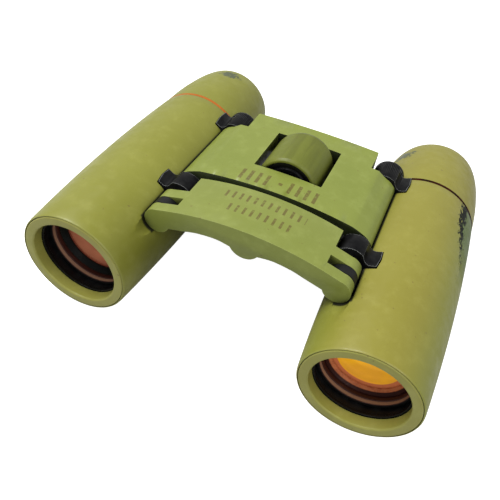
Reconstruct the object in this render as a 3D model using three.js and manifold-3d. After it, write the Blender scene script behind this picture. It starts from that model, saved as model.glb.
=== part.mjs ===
// Folding pocket binoculars: two objective barrels on a double-hinged bridge, centre focus wheel,
// front arm that pushes both objective carriers, diopter ring on the right eyepiece.
// Millimetres. X = across (right positive), Y = from objectives (-) to eyepieces (+), Z = up.
// Origin: middle of the width and length, on the plane the barrels rest on.
// Parts are modelled square, then add() moves them to the resting pose: bridge tipped 2.2 degrees, right
// side up, with each barrel turned on its hinge until both lie on the plane.
import * as THREE from 'three';
import { mergeVertices } from 'three/addons/utils/BufferGeometryUtils.js';
import Module from 'manifold-3d';

const wasm = await Module();
wasm.setup();

// ---------------------------------------------------------------- driving dimensions
const LENGTH = 103;            // objective rim to eyecup rim
const BARREL_X = 40.93;        // barrel axis from the mid-plane before the bridge is tipped
const BARREL_Z = 17.705;       // barrel axis height = largest barrel radius
const R_MOUTH = 16.0, R_SEAM = 17.18, BULGE = 1.03;   // barrel radius law
const Y_SEAM = 72.2;           // end of the long front shell, measured from the objective rim
const BORE = 14.9;             // inside of the green shells
const CHASSIS_R = 14.7, CHASSIS_BORE = 13.3;
const HINGE_X = 25.6, HINGE_Z = 30.6, KNUCKLE_R = 3.8;
const GROOVE_R = 4.05;         // clearance hollow in the shell round each knuckle
const PIN_R = 1.5, PIN_BORE = 1.62;
const FOCUS_Z = 32.6;          // focus wheel axis
const WHEEL_R = 9.5, WHEEL_Y0 = 45.8, WHEEL_Y1 = 64.1;
const WINDOW_X = 10.4, WINDOW_Y0 = 45.1, WINDOW_Y1 = 64.9;
const BRIDGE_Y0 = 35.4, BRIDGE_Y1 = 73, KNUCKLE_Y1 = 63.8;
const ARM_Y0 = 15.9, ARM_Y1 = 32.9;
const FORK_Y0 = 19.2, FORK_Y1 = 22.4, FORK_X = 21.0;
const TILT = 2.2;              // degrees
const FRONT_LUG = [27.6, 33.8], REAR_LUG = [64.1, 71.6], CARRIER_LUG = [19.4, 22.2];
const LUG_R = 4.75;            // knuckles on the barrel lugs are larger than those on the bridge
const LUG_GAP = 0.11;          // between a lug knuckle and the arm beside it
const NOTCH_X = 20.5;          // inner side of the bridge notches for the rear lugs
const TRAVEL_FWD = 2.0, TRAVEL_BACK = 1.5;   // focusing travel of the arm
const ARM_NOTCH_X = 21.18, ARM_NOTCH_Y = FRONT_LUG[0] - TRAVEL_BACK - 0.1;
const CELL_R = 13.0, LENS_R = 10.9;
const EYE_TUBE_R = 12.4, CAP_BORE = 12.75;

// ---------------------------------------------------------------- colours and finishes
const FINISH = {
  olive: [0x9c9a4f, 0.55, 0.0],
  green: [0x97a45a, 0.5, 0.0],
  wheelGreen: [0x7f8a4c, 0.42, 0.0],
  lipOlive: [0x8f8740, 0.5, 0.0],
  black: [0x1b191d, 0.5, 0.0],
  rubber: [0x17171a, 0.85, 0.0],
  steel: [0xb4b6b8, 0.35, 0.9],
  brass: [0xb9964a, 0.35, 0.9],
  copper: [0xa4603a, 0.35, 0.7],
  rust: [0x8a3a1c, 0.45, 0.1],
  amber: [0xd9962a, 0.08, 0.0],
  glass: [0xdfe8e4, 0.05, 0.0],
};

// ---------------------------------------------------------------- resting pose
// turning about a Y-parallel line through (x, z), then moving it to (tx, tz)
function turnAbout(x, z, angle, tx, tz) {
  const c = Math.cos(angle), s = Math.sin(angle);
  return new THREE.Matrix4().set(c, 0, -s, tx - c * x + s * z, 0, 1, 0, 0, s, 0, c, tz - s * x - c * z,
    0, 0, 0, 1);
}

function restingPose() {
  const tilt = TILT * Math.PI / 180;
  const reach = Math.hypot(BARREL_X - HINGE_X, BARREL_Z - HINGE_Z);
  const square = Math.asin((HINGE_Z - BARREL_Z) / reach);
  const up = HINGE_X * Math.sin(tilt), out = HINGE_X * Math.cos(tilt);
  const right = Math.asin((HINGE_Z + up - BARREL_Z) / reach);
  const left = Math.asin((HINGE_Z - up - BARREL_Z) / reach);
  const shift = reach * (Math.cos(left) - Math.cos(right)) / 2;
  return {
    bridge: turnAbout(0, HINGE_Z, tilt, shift, HINGE_Z),
    left: turnAbout(-HINGE_X, HINGE_Z, left - square, shift - out, HINGE_Z - up),
    right: turnAbout(HINGE_X, HINGE_Z, square - right, shift + out, HINGE_Z + up),
    roll: { left: square - left, right: square - right },
  };
}

const POSE = restingPose();
const group = new THREE.Group();
group.name = 'pocket_binoculars';

function add(name, finish, geometry) {
  const [color, roughness, metalness] = FINISH[finish];
  const side = name.startsWith('left_') ? 'left' : name.startsWith('right_') ? 'right' : 'bridge';
  geometry.applyMatrix4(POSE[side]);
  const material = new THREE.MeshStandardMaterial({ color, roughness, metalness });
  const mesh = new THREE.Mesh(geometry, material);
  mesh.name = name;
  group.add(mesh);
}

// ---------------------------------------------------------------- solid helpers
function cleaned(raw) {
  let g = raw.index ? raw.toNonIndexed() : raw.clone();
  g.deleteAttribute('normal');
  g.deleteAttribute('uv');
  g = mergeVertices(g, 1e-4);
  const p = g.attributes.position, ix = g.index.array, keep = [];
  let volume = 0;
  const a = new THREE.Vector3(), b = new THREE.Vector3(), c = new THREE.Vector3();
  for (let i = 0; i < ix.length; i += 3) {
    const [i0, i1, i2] = [ix[i], ix[i + 1], ix[i + 2]];
    if (i0 === i1 || i1 === i2 || i0 === i2) continue;
    keep.push(i0, i1, i2);
    a.fromBufferAttribute(p, i0);
    b.fromBufferAttribute(p, i1);
    c.fromBufferAttribute(p, i2);
    volume += a.dot(b.cross(c)) / 6;
  }
  if (volume < 0) {
    for (let i = 0; i < keep.length; i += 3) [keep[i], keep[i + 1]] = [keep[i + 1], keep[i]];
  }
  g.setIndex(keep);
  return g;
}

function toManifold(g) {
  return new wasm.Manifold(new wasm.Mesh({
    numProp: 3,
    vertProperties: new Float32Array(g.attributes.position.array),
    triVerts: new Uint32Array(g.index.array),
  }));
}

function fromManifold(m) {
  const out = m.getMesh();
  const g = new THREE.BufferGeometry();
  g.setAttribute('position', new THREE.BufferAttribute(new Float32Array(out.vertProperties), 3));
  g.setIndex(Array.from(out.triVerts));
  return cleaned(g);
}

function cut(base, ...tools) {
  let m = toManifold(base);
  for (const t of tools) m = m.subtract(toManifold(t));
  return fromManifold(m);
}

function join(base, ...others) {
  let m = toManifold(base);
  for (const o of others) m = m.add(toManifold(o));
  return fromManifold(m);
}

function common(a, b) {
  return fromManifold(toManifold(a).intersect(toManifold(b)));
}

// y positions are given from the objective rim; this shift centres the length
const Y = (y) => y - LENGTH / 2;

// solid of revolution about a Y-parallel axis; rings of [radius, y], closed automatically
function lathe(rings, n, cx = 0, cz = 0, start = 0) {
  const pts = rings.map(([r, y]) => new THREE.Vector2(r, Y(y)));
  if (rings[0][0] > 0 || rings[rings.length - 1][0] > 0) pts.push(pts[0].clone());
  const g = new THREE.LatheGeometry(pts, n, start);
  g.translate(cx, 0, cz);
  return cleaned(g);
}

// part turned about the barrel axis, with its facets level once the barrel is in its resting pose
const turned = (sx, rings, n) =>
  lathe(rings, n, BARREL_X, BARREL_Z, sx > 0 ? POSE.roll.right : POSE.roll.left);
const rod = (r, y0, y1, n, cx = 0, cz = 0) =>
  lathe([[0, y0], [r, y0], [r, y1], [0, y1]], n, cx, cz);
const ring = (ro, ri, y0, y1) => [[ri, y0], [ro, y0], [ro, y1], [ri, y1]];
const tube = (ro, ri, y0, y1, n, cx = 0, cz = 0) => lathe(ring(ro, ri, y0, y1), n, cx, cz);

// outline in X,Z pushed along Y
function slab(outline, y0, y1) {
  const shape = new THREE.Shape(outline.map(([x, z]) => new THREE.Vector2(x, z)));
  const g = new THREE.ExtrudeGeometry(shape, { depth: y1 - y0, bevelEnabled: false });
  const m = new THREE.Matrix4().set(1, 0, 0, 0, 0, 0, 1, Y(y0), 0, 1, 0, 0, 0, 0, 0, 1);
  g.applyMatrix4(m);
  return cleaned(g);
}

// skin between two outlines in X,Z that run the same way with the same number of points
function loft(front, rear, y0, y1) {
  const g = slab(front, y0, y1);
  const p = g.attributes.position;
  for (let i = 0; i < p.count; i++) {
    if (Math.abs(p.getY(i) - Y(y1)) > 1e-3) continue;
    const k = front.findIndex(([x, z]) => Math.hypot(x - p.getX(i), z - p.getZ(i)) < 1e-3);
    p.setX(i, rear[k][0]);
    p.setZ(i, rear[k][1]);
  }
  return g;
}

// outline in Y,Z pushed along X, centred on cx
function crossSlab(outline, width, cx = 0) {
  const shape = new THREE.Shape(outline.map(([y, z]) => new THREE.Vector2(Y(y), z)));
  const g = new THREE.ExtrudeGeometry(shape, { depth: width, bevelEnabled: false });
  const m = new THREE.Matrix4().set(0, 0, 1, cx - width / 2, 1, 0, 0, 0, 0, 1, 0, 0, 0, 0, 0, 1);
  g.applyMatrix4(m);
  return cleaned(g);
}

function box(x0, x1, y0, y1, z0, z1) {
  return slab([[x0, z0], [x1, z0], [x1, z1], [x0, z1]], y0, y1);
}

function mirrored(g) {
  return cleaned(g.clone().applyMatrix4(new THREE.Matrix4().makeScale(-1, 1, 1)));
}

const side = (sx, g) => (sx > 0 ? g : mirrored(g));
const deg = Math.PI / 180;

function arc(cx, cz, r, from, to, steps) {
  const out = [];
  for (let i = 0; i <= steps; i++) {
    const t = (from + (to - from) * i / steps) * deg;
    out.push([cx + r * Math.cos(t), cz + r * Math.sin(t)]);
  }
  return out;
}

// ring sector round the right barrel axis, angles from +X through +Z
function sector(r0, r1, a0, a1, y0, y1, steps = 6) {
  const outer = arc(BARREL_X, BARREL_Z, r1, a0, a1, steps);
  const inner = arc(BARREL_X, BARREL_Z, r0, a1, a0, steps);
  return slab([...outer, ...inner], y0, y1);
}

// ---------------------------------------------------------------- bridge and arm outlines
const topZ = (x, crown, radius) => crown - x * x / (2 * radius);

function mirroredOutline(right) {
  const left = right.filter(([x]) => x > 0.001).map(([x, z]) => [-x, z]).reverse();
  return [...left, ...right];
}

// main bridge outline; the right half runs from the crown round the knuckle and back to the middle
function bridgeOutline(crown, radius) {
  const top = [0, 4, 8, 12, 16, 20, 23].map((x) => [x, topZ(x, crown, radius)]);
  const shoulder = [[25.4, 34.95], [27.3, 34.0]];
  const knuckle = arc(HINGE_X, HINGE_Z, KNUCKLE_R, 32, -176, 13);
  const under = [[17, 30.55], [14.6, 30.6], [0, 30.6]];
  const right = [...top, ...shoulder, ...knuckle, ...under];
  return mirroredOutline(right);
}

function armOutline() {
  const crown = 38.4;
  const top = [0, 4, 8, 12, 16, 20, 24].map((x) => [x, topZ(x, crown, 82.6)]);
  const knuckle = arc(HINGE_X, HINGE_Z, 3.75, 84, -160, 15);
  const under = [[20.5, 29.75], [18.8, 30.2], [17, 30.7], [13.4, 31.7], [8.6, 32.25], [5.6, 32.0]];
  const boss = arc(0, 33.9, 4.5, -30, -90, 5);
  const right = [...top, ...knuckle, ...under, ...boss];
  return mirroredOutline(right);
}

function buildBridge() {
  let g = loft(bridgeOutline(37.9, 130), bridgeOutline(37.5, 340), BRIDGE_Y0, BRIDGE_Y1);
  for (const s of [-1, 1]) {
    const x0 = s > 0 ? NOTCH_X : -40, x1 = s > 0 ? 40 : -NOTCH_X;
    g = cut(g, box(x0, x1, KNUCKLE_Y1, 80, 0, 60));
    g = cut(g, rod(1.55, 30, 80, 16, s * HINGE_X, HINGE_Z));
  }
  g = cut(g, box(-WINDOW_X, WINDOW_X, WINDOW_Y0, WINDOW_Y1, 0, 60));
  g = cut(g, rod(1.68, 30, 50, 16, 0, FOCUS_Z), rod(1.68, 60, 80, 16, 0, FOCUS_Z));
  for (const [x, y] of SCREWS) g = cut(g, post(x, y, 0.95, 30, 34.4, 10));
  add('main_bridge', 'green', g);
}

function buildArm() {
  let g = slab(armOutline(), ARM_Y0, ARM_Y1);
  for (const s of [-1, 1]) {
    const fx = s * (FORK_X + 20), nx = s * (ARM_NOTCH_X + 20);
    g = cut(g, box(fx - 20, fx + 20, FORK_Y0, FORK_Y1, 0, 60));
    g = cut(g, box(nx - 20, nx + 20, ARM_NOTCH_Y, 60, 0, 60));
    g = cut(g, rod(LUG_R + LUG_GAP, ARM_NOTCH_Y, 60, 48, s * HINGE_X, HINGE_Z));
    g = cut(g, rod(PIN_BORE, 16.7, 40, 16, s * HINGE_X, HINGE_Z));
  }
  g = cut(g, rod(2.65, 19.4, 40, 18, 0, FOCUS_Z));
  add('front_arm', 'green', g);
  add('focus_nut', 'brass', tube(2.5, 1.62, 20.6, 32.6, 16, 0, FOCUS_Z));
}

// ---------------------------------------------------------------- bridge underside
const SCREWS = [[-12.4, 40], [12.4, 40], [-12.4, 68.6], [12.4, 68.6]];

// vertical round post between two heights
function post(x, y, r, z0, z1, n) {
  const g = new THREE.CylinderGeometry(r, r, z1 - z0, n);
  g.rotateX(Math.PI / 2);
  g.translate(x, Y(y), (z0 + z1) / 2);
  return cleaned(g);
}

function buildCover() {
  let g = box(-14.3, 14.3, 37, 71.4, 29.75, 30.5);
  g = cut(g, box(-10, 10, WINDOW_Y0, WINDOW_Y1, 20, 40));
  for (const [x, y] of SCREWS) g = cut(g, post(x, y, 1.6, 29, 32, 12));
  add('bridge_cover', 'black', g);
  SCREWS.forEach(([x, y], i) => {
    const head = cut(post(x, y, 1.45, 29.8, 30.55, 12), crossDrive(x, y));
    add(`cover_screw_${i + 1}`, 'steel', join(head, post(x, y, 0.8, 30.5, 34.2, 8)));
  });
  add('axle_plug', 'black', rod(1.62, 71.2, BRIDGE_Y1, 16, 0, FOCUS_Z));
}

function crossDrive(x, y) {
  return join(box(x - 0.9, x + 0.9, y - 0.18, y + 0.18, 29.5, 30.2),
    box(x - 0.18, x + 0.18, y - 0.9, y + 0.9, 29.5, 30.2));
}

// ---------------------------------------------------------------- focus wheel
function buildWheel() {
  const R = WHEEL_R, y0 = WHEEL_Y0, y1 = WHEEL_Y1;
  const rim = [[2.6, y0 + 1.9], [R - 1.5, y0 + 1.9], [R - 1.5, y0 + 0.4], [R - 1.1, y0], [R - 0.6, y0 + 0.1],
    [R, y0 + 0.8], [R, y1 - 2.4], [R - 0.5, y1 - 1.1], [R - 1.4, y1 - 0.3], [R - 2.8, y1],
    [2.6, y1]];
  add('focus_wheel', 'wheelGreen', lathe(rim, 28, 0, FOCUS_Z));
  const hub = [[1.6, y0 + 0.5], [3.6, y0 + 0.5], [3.8, y0 + 0.9], [5.0, y0 + 0.9], [5.2, y0 + 0.5],
    [6.0, y0 + 0.5], [6.2, y0 + 0.9], [R - 2.4, y0 + 0.9], [R - 2.2, y0 + 0.4], [R - 1.6, y0 + 0.4],
    [R - 1.6, y0 + 1.8], [2.4, y0 + 1.8], [2.4, y0 + 9], [1.6, y0 + 9]];
  add('wheel_hub', 'black', lathe(hub, 22, 0, FOCUS_Z));
  const screw = [[0, 21.4], [1.2, 21.4], [1.5, 21.9], [1.5, 69.5], [1.2, 69.9], [0, 69.9]];
  add('focus_screw', 'steel', lathe(screw, 14, 0, FOCUS_Z));
  add('thrust_washer', 'steel', tube(4.2, 1.65, y1 + 0.15, y1 + 0.7, 16, 0, FOCUS_Z));
}

// ---------------------------------------------------------------- hinge hardware
function buildHinge(sx, tag) {
  const x = sx * HINGE_X;
  add(`hinge_pin_${tag}`, 'steel', lathe([[0, 18.5], [1.2, 18.5], [PIN_R, 18.9], [PIN_R, 72.1],
    [1.2, 72.5], [0, 72.5]], 14, x, HINGE_Z));
  add(`hinge_washer_${tag}`, 'rubber', tube(3.2, 1.7, 34.1, 35.15, 16, x, HINGE_Z));
}

// ---------------------------------------------------------------- barrel
function shellRadius(y) {
  const u = y / Y_SEAM;
  return R_MOUTH + (R_SEAM - R_MOUTH) * u + 4 * BULGE * u * (1 - u);
}

// clearance hollow along the hinge, running out to nothing ahead of the arm
function hingeGroove(y0, y1) {
  const profile = [[0, y0 - 4.7], [3.0, y0 - 4.7], [GROOVE_R, y0], [GROOVE_R, y1], [0, y1]];
  return lathe(profile, 28, HINGE_X, HINGE_Z);
}

// plan outline (seen from above) of a lug root and of the opening round it
function lugPlan([y0, y1], grow, z0, z1) {
  const e = 32.6 + grow;
  const pts = [[15, y0 - grow], [e - 0.4, y0 - grow], [e, (y0 + y1) / 2], [e - 0.2, y1 + grow],
    [15, y1 + grow]];
  const shape = new THREE.Shape(pts.map(([x, y]) => new THREE.Vector2(x, Y(y))));
  const g = new THREE.ExtrudeGeometry(shape, { depth: z1 - z0, bevelEnabled: false });
  g.translate(0, 0, z0);
  return cleaned(g);
}

function buildShell(sx, tag) {
  const stations = [9, 20, 32, 46.4, 60];
  const outer = [[15.55, 0.15], [15.75, 0.1], [15.93, 0.45], [shellRadius(1.4), 1.4],
    ...stations.map((y) => [shellRadius(y), y]), [R_SEAM, Y_SEAM - 0.3], [R_SEAM - 0.2, Y_SEAM]];
  const inner = [[BORE, Y_SEAM], [BORE, 3.6], [15.55, 3.6]];
  let g = turned(sx, [...outer, ...inner], 32);
  g = cut(g, hingeGroove(ARM_Y0 - TRAVEL_FWD - 0.2, REAR_LUG[1] + 0.3));
  g = cut(g, lugPlan(FRONT_LUG, 0.35, 24, 60), lugPlan(REAR_LUG, 0.3, 24, 60));
  g = cut(g, sector(12, 20, 130, 150, 17.1, 24.1, 4));
  add(`${tag}_shell`, 'olive', side(sx, g));
}

// hinge lug: knuckle, saddle-shaped top and a root that reaches the chassis tube
function lug(span) {
  const knuckle = arc(HINGE_X, HINGE_Z, LUG_R, 58, 270, 14);
  const root = arc(BARREL_X, BARREL_Z, 14.0, 150, 117, 5);
  const saddle = [[33.5, 33.35], [32.7, 33.6], [31.6, 33.0], [30.3, 32.5], [29.2, 33.0], [28.5, 33.9]];
  return common(slab([...knuckle, ...root, ...saddle], ...span), lugPlan(span, 0, 10, 60));
}

// the rear knuckle reaches past the seam, clear of the dome
function knuckleEnd() {
  const y = REAR_LUG[1];
  return cut(rod(LUG_R, y - 0.2, BRIDGE_Y1, 28, HINGE_X, HINGE_Z),
    rod(17.6, y + 0.2, 80, 48, BARREL_X, BARREL_Z));
}

function buildChassis(sx, tag) {
  let g = turned(sx, [[CHASSIS_BORE, 4.2], [CHASSIS_R, 4.2], [CHASSIS_R, 77], [CHASSIS_BORE, 77]], 28);
  g = join(g, lug(FRONT_LUG), lug(REAR_LUG), knuckleEnd());
  g = cut(g, sector(12, 20, 130.5, 149.5, 17.1, 24.1, 4), rod(PIN_BORE, 10, 80, 16, HINGE_X, HINGE_Z));
  add(`${tag}_chassis`, 'black', side(sx, g));
}

function buildFrontRings(sx, tag) {
  const bezel = [[12.75, 0.35], [13.1, 0], [15.2, 0], [15.4, 0.2], [15.4, 3.5], [13.5, 3.4],
    [12.75, 3.4]];
  add(`${tag}_front_bezel`, 'olive', side(sx, turned(sx, bezel, 32)));
  const stop = [[12.2, 3.5], [13.4, 3.5], [13.4, 3.9], [13.1, 3.9], [13.1, 4.7], [12.5, 4.7]];
  add(`${tag}_stop_ring`, 'black', side(sx, turned(sx, stop, 28)));
  const seam = turned(sx, ring(17.05, 14.95, 72.25, 72.85), 32);
  add(`${tag}_seam_ring`, 'rust', side(sx, seam));
}

function buildRearCap(sx, name) {
  const dome = [[14.95, 72.9], [16.95, 72.9], [17.12, 73.1], [17.14, 79], [16.95, 84], [16.4, 90.5],
    [15.85, 94.5], [15.17, 98], [14.46, 100.5], [13.8, 101.8], [CAP_BORE, 102.4],
    [CAP_BORE, 79.5], [14.95, 79.5]];
  add(name, 'olive', side(sx, turned(sx, dome, 32)));
}

// ---------------------------------------------------------------- prisms
function buildPrisms(sx, tag) {
  const z = (v) => v + BARREL_Z;
  const first = [[35, z(-8.6)], [35, z(7)], [36.6, z(8.6)], [48.3, z(-3.1)]];
  add(`${tag}_prism_front`, 'glass', side(sx, crossSlab(first, 12, BARREL_X)));
  const second = [[37.4, z(8.6)], [53.4, z(-7.4)], [53.4, z(8.6)]];
  let roof = crossSlab(second, 12, BARREL_X);
  roof = common(roof, slab([[BARREL_X - 6, z(-12)], [BARREL_X + 6, z(-12)], [BARREL_X + 6, z(4.4)],
    [BARREL_X, z(8.6)], [BARREL_X - 6, z(4.4)]], 30, 60));
  add(`${tag}_prism_roof`, 'glass', side(sx, roof));
  const x = BARREL_X;
  const channel = [[x - 7.3, z(8)], [x - 7.3, z(-9.9)], [x + 7.3, z(-9.9)], [x + 7.3, z(8)],
    [x + 6.4, z(8)], [x + 6.4, z(-9)], [x - 6.4, z(-9)], [x - 6.4, z(8)]];
  add(`${tag}_prism_cradle`, 'black', side(sx, slab(channel, 34, 55)));
  add(`${tag}_baffle`, 'black', side(sx, turned(sx, ring(13.1, 8.5, 29.5, 30.4), 18)));
  add(`${tag}_field_stop`, 'black', side(sx, turned(sx, ring(13.1, 6.0, 62, 62.8), 18)));
}

// ---------------------------------------------------------------- objective carrier
function buildCarrier(sx, tag) {
  const cell = [[12.0, 7.0], [CELL_R, 7.0], [CELL_R, 24], [10.2, 24], [10.2, 18.6], [11.05, 18.6],
    [11.05, 11.6], [11.75, 11.6], [11.75, 8.4], [12.0, 8.2]];
  let g = turned(sx, cell, 30);
  const disc = arc(HINGE_X, HINGE_Z, 3.8, 0, 340, 17);
  g = join(g, slab(disc, ...CARRIER_LUG), sector(12.4, 17.4, 132, 148, ...CARRIER_LUG, 3));
  g = cut(g, rod(PIN_BORE, 10, 30, 16, HINGE_X, HINGE_Z));
  add(`${tag}_objective_cell`, 'black', side(sx, g));
  const retainer = [[11.35, 9.5], [11.6, 9.5], [11.6, 11.4], [10.2, 11.3], [10.2, 10.9]];
  add(`${tag}_lens_ring`, 'copper', side(sx, turned(sx, retainer, 28)));
  const crown = [[0, 10.4], [4, 10.55], [8, 11.1], [LENS_R - 0.8, 11.6], [LENS_R, 11.7], [LENS_R, 14.4],
    [7, 15.1], [0, 15.6]];
  add(`${tag}_crown_lens`, 'amber', side(sx, turned(sx, crown, 24)));
  const flint = [[0, 15.75], [7, 15.25], [LENS_R, 14.55], [LENS_R, 16.9], [7, 17.1], [0, 17.2]];
  add(`${tag}_flint_lens`, 'glass', side(sx, turned(sx, flint, 24)));
  add(`${tag}_spacer_ring`, 'black', side(sx, turned(sx, ring(10.9, 10.0, 17.2, 18.4), 20)));
}

// ---------------------------------------------------------------- eyepiece
function buildEyepiece(sx, tag) {
  const shell = [[11.0, 74.5], [EYE_TUBE_R, 74.5], [EYE_TUBE_R, 100.2], [9.2, 100.2], [9.2, 93.4],
    [11.0, 93.4]];
  const at = (rings, n) => side(sx, turned(sx, rings, n));
  add(`${tag}_eyepiece_tube`, 'black', at(shell, 28));
  const field = [[0, 79.4], [6, 79.9], [10.4, 81.3], [10.8, 81.5], [10.8, 84.4], [0, 84.4]];
  add(`${tag}_field_lens`, 'glass', at(field, 20));
  add(`${tag}_field_ring`, 'black', at([[9.6, 84.6], [10.8, 84.6], [10.8, 86.2], [9.6, 86.2]], 20));
  const eye = [[0, 94], [8.6, 94], [9.0, 94.3], [9.0, 96.2], [5, 97.3], [0, 97.7]];
  add(`${tag}_eye_lens`, 'glass', at(eye, 22));
  const cup = [[8.4, 100.6], [9.0, 100.35], [12.3, 100.35], [12.6, 101.4], [12.4, 102.5], [11.8, LENGTH],
    [9.8, LENGTH]];
  add(`${tag}_eyecup`, 'rubber', at(cup, 26));
}

// ---------------------------------------------------------------- assembly
buildBridge();
buildCover();
buildWheel();
buildArm();
for (const [sx, tag] of [[-1, 'left'], [1, 'right']]) {
  buildHinge(sx, tag);
  buildShell(sx, tag);
  buildChassis(sx, tag);
  buildFrontRings(sx, tag);
  buildPrisms(sx, tag);
  buildCarrier(sx, tag);
  buildEyepiece(sx, tag);
}
buildRearCap(-1, 'left_rear_cap');
buildRearCap(1, 'right_diopter_ring');

export default group;
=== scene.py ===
"""Folding pocket binoculars in olive and green paint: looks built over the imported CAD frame."""

import math

import bpy
from mathutils import Matrix, Vector


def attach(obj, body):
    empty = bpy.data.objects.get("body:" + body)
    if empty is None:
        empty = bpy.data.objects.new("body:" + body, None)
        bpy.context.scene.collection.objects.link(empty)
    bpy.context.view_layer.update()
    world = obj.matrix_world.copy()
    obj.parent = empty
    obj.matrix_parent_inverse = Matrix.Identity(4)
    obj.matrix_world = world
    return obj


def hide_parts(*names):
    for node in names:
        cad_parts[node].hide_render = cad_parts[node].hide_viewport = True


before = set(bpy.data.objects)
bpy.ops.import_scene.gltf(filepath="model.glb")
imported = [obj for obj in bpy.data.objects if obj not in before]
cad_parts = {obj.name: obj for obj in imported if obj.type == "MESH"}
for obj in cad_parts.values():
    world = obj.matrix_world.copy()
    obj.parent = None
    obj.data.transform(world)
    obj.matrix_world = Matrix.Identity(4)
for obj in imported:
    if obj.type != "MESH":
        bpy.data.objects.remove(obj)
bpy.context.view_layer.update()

# ------------------------------------------------------------------ dimensions, millimetres
MM, PER_METRE = 0.001, 1000
LENGTH = 103.0
BX, BZ = 40.93, 17.705            # barrel axis
R_MOUTH, R_SEAM, BULGE, Y_SEAM = 16.0, 17.18, 1.03, 72.2   # barrel skin outside
SKIN_IN, TUBE_IN, TUBE_OUT = 14.9, 13.3, 14.7   # skin inside, chassis tube
HX, HZ, KNUCKLE_R = 25.6, 30.6, 3.8   # hinge axis
LUG_R, LUG_END_X = 4.75, 32.6     # knuckle of the barrel lugs and their outer end
FRONT_LUG, REAR_LUG, CARRIER_LUG = (27.6, 33.8), (64.1, 71.6), (19.4, 22.2)
CARRIER_SLOT = (17.1, 24.1)       # opening in skin and chassis for the lug of the carrier
FOCUS_Z = 32.6                    # focusing axis
WHEEL_R, WHEEL_Y0, WHEEL_Y1 = 9.5, 45.8, 64.1
WINDOW_X, WINDOW_Y = 10.4, (45.1, 64.9)
BRIDGE_Y0, BRIDGE_Y1, KNUCKLE_Y1 = 35.4, 73.0, 63.8
NOTCH_X = 20.5                    # inner side of the bridge notches for the rear lugs
ARM_Y0, ARM_Y1 = 15.9, 32.9
FORK_X, FORK_Y = 21.0, (19.2, 22.4)
ARM_NOTCH_X, ARM_NOTCH_Y = 21.18, 26.0
LUG_GAP = 0.1                     # between a lug knuckle and the arm beside it
CROWN_R = 10.9                    # front lens
EYE_R, EYE_Y0, EYE_Y1 = 9.0, 94.0, 97.7
PIN_BORE, BRIDGE_PIN_BORE, SCREW_BORE, NUT_BORE = 1.62, 1.55, 1.68, 2.65
COVER_SCREWS = ((-12.4, 40), (12.4, 40), (-12.4, 68.6), (12.4, 68.6))
COVER_SCREW_R, COVER_Z = 0.95, (30, 34.4)
TILT = math.radians(2.2)          # the bridge at rest
PAST, TALL = 80, (0, 60)          # well beyond the body, for cutting tools
TAU = 2 * math.pi


def turn_about(x, z, angle, tx, tz):
    """Turning about a lengthwise line through (x, z), which then moves to (tx, tz)."""
    c, w = math.cos(angle), math.sin(angle)
    return Matrix(((c, 0, -w, (tx - c * x + w * z) * MM), (0, 1, 0, 0),
                   (w, 0, c, (tz - w * x - c * z) * MM), (0, 0, 0, 1)))


def resting_pose():
    """Pieces are modelled square; at rest the bridge is tipped and the barrels lie on the floor."""
    reach = math.hypot(BX - HX, BZ - HZ)
    square = math.asin((HZ - BZ) / reach)
    up, out = HX * math.sin(TILT), HX * math.cos(TILT)
    right = math.asin((HZ + up - BZ) / reach)
    left = math.asin((HZ - up - BZ) / reach)
    shift = reach * (math.cos(left) - math.cos(right)) / 2
    return {"bridge": turn_about(0, HZ, TILT, shift, HZ),
            "left": turn_about(-HX, HZ, left - square, shift - out, HZ - up),
            "right": turn_about(HX, HZ, square - right, shift + out, HZ + up)}


POSE = resting_pose()


def Y(y):
    """Position along the length, counted from the objective rim, to the frame's y."""
    return y - LENGTH / 2


# ------------------------------------------------------------------ mesh helpers
def new_object(name, verts, faces):
    """Closed mesh from millimetre positions, with its normals turned outward."""
    me = bpy.data.meshes.new(name)
    me.from_pydata([(x * MM, y * MM, z * MM) for x, y, z in verts], [], faces)
    me.update()
    ob = bpy.data.objects.new(name, me)
    bpy.context.scene.collection.objects.link(ob)
    outward(ob)
    return ob


def outward(ob):
    me = ob.data
    vol = 0.0
    me.calc_loop_triangles()
    for t in me.loop_triangles:
        a, b, c = (me.vertices[i].co for i in t.vertices)
        vol += a.dot(b.cross(c))
    if vol < 0:
        me.flip_normals()


def rounded(points, closed=True, steps=4):
    """Outline of (a, b) or (a, b, r): a corner with r gets a fillet of that radius."""
    out, n = [], len(points)
    for i, p in enumerate(points):
        r = p[2] if len(p) > 2 else 0
        ends = not closed and i in (0, n - 1)
        if not r or ends:
            out.append((p[0], p[1]))
            continue
        c = Vector(p[:2])
        a = Vector(points[i - 1][:2]) - c
        b = Vector(points[(i + 1) % n][:2]) - c
        la, lb = a.length, b.length
        a.normalize()
        b.normalize()
        half = math.acos(max(-1, min(1, a.dot(b)))) / 2
        if half > math.pi / 2 - 0.02:
            out.append((p[0], p[1]))
            continue
        d = min(r / math.tan(half), la * 0.49, lb * 0.49)
        r = d * math.tan(half)
        centre = c + (a + b).normalized() * (r / math.sin(half))
        p0, p1 = c + a * d - centre, c + b * d - centre
        t0 = math.atan2(p0.y, p0.x)
        dt = (math.atan2(p1.y, p1.x) - t0 + math.pi) % TAU - math.pi
        for k in range(steps + 1):
            t = t0 + dt * k / steps
            out.append((centre.x + r * math.cos(t), centre.y + r * math.sin(t)))
    return out


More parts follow.
